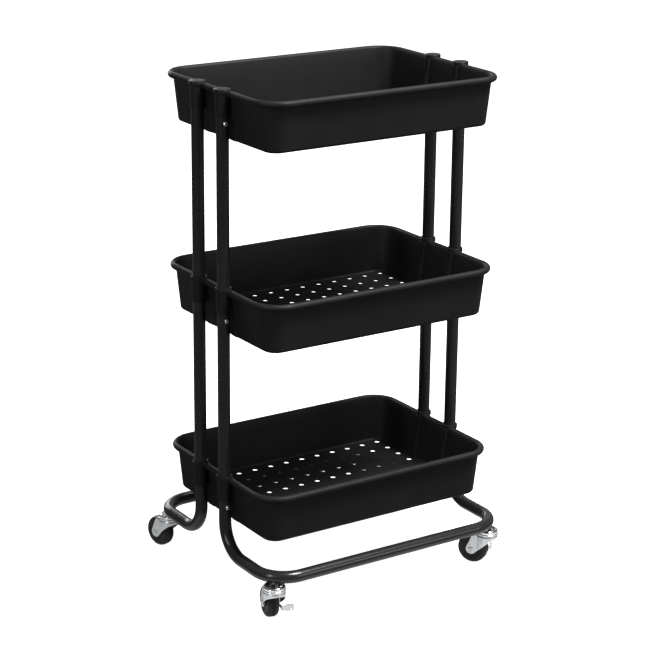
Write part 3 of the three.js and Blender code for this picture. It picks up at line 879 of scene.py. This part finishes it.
def place_posts():
    cap = cap_mesh()
    for corner in CORNERS:
        node = f"{corner}_cap"
        middle = centre_of(node)
        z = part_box(node)[1].z - (BEAD_R + GAP + CAP_DOME) * MM
        place(f"{corner}_cap_lid", cap, CAP_PLASTIC, "frame", node, at(middle.x, middle.y, z))
        for level in ("upper", "lower"):
            node = f"{corner}_{level}_post"
            low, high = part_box(node)
            middle = centre_of(node)
            mesh = post_mesh("post_tube", low.z / MM, high.z / MM)
            place(f"{node}_tube", mesh, POWDER_COAT, "frame", node, at(middle.x, middle.y, 0))


def place_screws():
    mesh = screw_mesh()
    for level in LEVELS:
        for corner, (sx, sy) in CORNERS.items():
            node = f"{level}_{corner}_screw"
            low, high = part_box(node)
            post = centre_of(f"{corner}_cap")
            turn = Matrix.Rotation(math.radians(90 if sy < 0 else -90), 4, "X")
            angle = 17 * sx + 31 * sy + 40 * LEVELS.index(level)  # no two screws are driven alike
            spin = Matrix.Rotation(math.radians(angle), 4, "Z")
            where = at(post.x, post.y + sy * TUBE_R * MM, (low.z + high.z) / 2)
            name = f"{level}_{corner}_pan_screw"
            place(name, mesh, SCREW_ZINC, "frame", node, where @ turn @ spin)


def place_base_tubes():
    middle = centre_of("upper_tub")
    for side, sy in (("front", -1), ("rear", 1)):
        node = f"{side}_base_tube"
        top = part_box(node)[1].z / MM
        mesh = base_tube_mesh(f"{side}_bent_tube", sy, top)
        place(f"{side}_bent_tube", mesh, POWDER_COAT, "frame", node, at(0, middle.y, 0))


def caster_frame(corner):
    """The caster's own axes: on the stem's axis at floor level, with the wheel trailing to +X."""
    joints = {joint["name"]: joint for joint in frame["joints"]}
    stem = joints[f"{corner}_swivel_turn"]["pos_m"]
    across = Vector(joints[f"{corner}_wheel_spin"]["axis"])
    along = across.cross(Vector((0, 0, 1)))
    axes = Matrix((along, across, Vector((0, 0, 1)))).transposed()
    return at(stem[0], stem[1], 0) @ axes.to_4x4()


def place_casters():
    low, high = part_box("front_left_stem")
    fork, wheel, raceway = fork_mesh(), wheel_mesh(), raceway_mesh()
    stem, nut, brake = stem_mesh(low.z / MM, high.z / MM), nut_mesh(), brake_mesh()
    for corner, (_, sy) in CORNERS.items():
        here = caster_frame(corner)
        braked = sy < 0
        swivel = f"{corner}_swivel"
        pieces = [
            ("stem", "stem_bolt", stem, CASTER_ZINC, "frame"),
            ("nut", "insert_nut", nut, CASTER_ZINC, "frame"),
            ("raceway", "race_ring", raceway, CASTER_CHROME, "frame"),
            ("fork", "pressed_fork", fork, CASTER_ZINC, swivel),
            ("axle", "axle_rivet", axle_mesh(braked), CASTER_ZINC, swivel),
            ("wheel", "hard_wheel", wheel, WHEEL_PLASTIC, f"{corner}_wheel"),
        ]
        if braked:
            pieces.append(("brake", "brake_lever", brake, BRAKE_PLATE, f"{corner}_brake"))
        for node, name, mesh, finish, body in pieces:
            place(f"{corner}_{name}", mesh, finish, body, f"{corner}_{node}", here)


# ---------------------------------------------------------------- floor, light and camera
def camera_only(nodes):
    """1 for what the camera sees directly, 0 for light that bounces or reflects."""
    return nodes.new("ShaderNodeLightPath").outputs["Is Camera Ray"]


def mirrored_nearby(paper):
    """1 for what a low surface mirrors from the floor right under it, fading to 0 farther off."""
    path = paper.node("ShaderNodeLightPath")
    close = paper.ranged(path.outputs["Ray Length"], 1.0, 0.0, 0.13, 0.21)
    return paper.math("MULTIPLY", close, path.outputs["Is Glossy Ray"])


def add_floor():
    """Pale paper sweep. It looks white to the camera but throws little light back at the cart."""
    half = 30.0  # metres
    mesh = bpy.data.meshes.new("floor")
    corners = [(-half, -half, 0), (half, -half, 0), (half, half, 0), (-half, half, 0)]
    mesh.from_pydata(corners, [], [(0, 1, 2, 3)])
    paper = Nodes("pale_floor")
    seen = camera_only(paper.tree.nodes)
    bright = paper.math("ADD", seen, paper.math("MULTIPLY", mirrored_nearby(paper), 0.38))
    colour = paper.mix(bright, (0.11, 0.11, 0.11), (0.88, 0.88, 0.88))
    glow = paper.math("MULTIPLY", bright, 0.9)
    paper.feed(Base_Color=colour, Roughness=0.9, Specular_IOR_Level=0.1)
    paper.feed(Emission_Color=(1, 1, 1, 1), Emission_Strength=glow)
    mesh.materials.append(paper.material)
    floor = bpy.data.objects.new("floor", mesh)
    bpy.context.scene.collection.objects.link(floor)


def add_softbox(name, location, width, height, power):
    """Rectangular lamp facing the middle of the cart; the camera does not see it."""
    lamp = bpy.data.lights.new(name, "AREA")
    lamp.shape = "RECTANGLE"
    lamp.size, lamp.size_y, lamp.energy = width, height, power
    obj = bpy.data.objects.new(name, lamp)
    obj.location = location
    aim = Vector((0, 0, 0.45)) - Vector(location)
    obj.rotation_euler = aim.to_track_quat("-Z", "Y").to_euler()
    obj.visible_camera = False
    bpy.context.scene.collection.objects.link(obj)


def add_light():
    """Even grey surround, white where the camera sees it, and the softboxes."""
    world = bpy.data.worlds.new("studio")
    world.use_nodes = True
    tree = world.node_tree
    background = tree.nodes["Background"]
    background.inputs["Color"].default_value = (1, 1, 1, 1)
    strength = tree.nodes.new("ShaderNodeMapRange")
    strength.inputs["To Min"].default_value = 0.18
    strength.inputs["To Max"].default_value = 1.0
    tree.links.new(camera_only(tree.nodes), strength.inputs["Value"])
    tree.links.new(strength.outputs[0], background.inputs["Strength"])
    bpy.context.scene.world = world
    add_softbox("key", (0.9, -1.6, 4.0), 1.6, 1.2, 235)
    add_softbox("overhead", (1.0, -0.3, 3.5), 2.6, 0.8, 38)
    add_softbox("front_fill", (1.5, -3.2, 1.2), 1.6, 1.0, 17)
    add_softbox("left_strip", (-3.0, -0.9, 1.6), 0.3, 1.8, 24)
    add_softbox("backdrop", (2.1, 3.2, 1.9), 4.2, 1.4, 5)
    add_softbox("rear_fill", (0.3, 3.4, 1.3), 2.0, 1.6, 36)
    bpy.context.scene.view_settings.view_transform = "Standard"


def add_camera():
    """Long lens from the front left and above, rolled by about half a degree."""
    azimuth, pitch, roll = math.radians(-33.31), math.radians(17.8), math.radians(0.57)
    level = math.cos(pitch)
    back = Vector((math.sin(azimuth) * level, -math.cos(azimuth) * level, math.sin(pitch)))
    right = Vector((math.cos(azimuth), math.sin(azimuth), 0))
    up = back.cross(right)
    turned_right = right * math.cos(roll) + up * math.sin(roll)
    turned_up = up * math.cos(roll) - right * math.sin(roll)
    data = bpy.data.cameras.new("camera")
    data.lens, data.sensor_width = 113.24, 36.0
    data.clip_start, data.clip_end = 0.05, 100
    camera = bpy.data.objects.new("camera", data)
    axes = Matrix((turned_right, turned_up, back)).transposed().to_4x4()
    shift = centre_of("upper_tub").y
    camera.matrix_world = at(-1.6621, -2.5153 + shift, 1.3561) @ axes
    bpy.context.scene.collection.objects.link(camera)
    bpy.context.scene.camera = camera


place_tubs()
place_posts()
place_screws()
place_base_tubes()
place_casters()
add_floor()
add_light()
add_camera()
